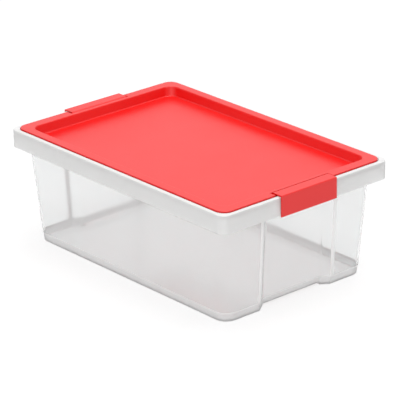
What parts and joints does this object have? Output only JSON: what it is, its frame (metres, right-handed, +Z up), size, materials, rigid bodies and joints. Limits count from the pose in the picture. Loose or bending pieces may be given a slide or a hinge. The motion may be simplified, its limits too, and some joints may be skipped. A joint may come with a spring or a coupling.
{
  "type": "lidded storage box",
  "caption": "Translucent plastic storage box with a red lid sunk into its rim and a hinged red clip at each end.",
  "frame": {"origin": "middle of the underside, on the surface that the box stands on", "axes": "+X along the box towards the right clip, +Y across it, +Z up"},
  "size_m": [0.3958, 0.2574, 0.1457],
  "materials": {
    "translucent_plastic": "frosted translucent polypropylene, satin",
    "lid_plastic": "red satin moulded polypropylene",
    "clip_plastic": "red satin moulded polypropylene"
  },
  "bodies": {
    "bin": {"bin": "translucent_plastic"},
    "lid": {"lid": "lid_plastic"},
    "right_clip": {"right_clip": "clip_plastic"},
    "left_clip": {"left_clip": "clip_plastic"}
  },
  "joints": [
    {"name": "lid_lift", "type": "slide", "parent": "bin", "child": "lid", "axis": [0, 0, 1], "range_m": [0, 0.16]},
    {"name": "right_clip_hinge", "type": "hinge", "parent": "lid", "child": "right_clip", "pos_m": [0.18409, 0, 0.1426], "axis": [0, -1, 0], "range_deg": [0, 90]},
    {"name": "left_clip_hinge", "type": "hinge", "parent": "lid", "child": "left_clip", "pos_m": [-0.18409, 0, 0.1426], "axis": [0, 1, 0], "range_deg": [0, 90]}
  ]
}
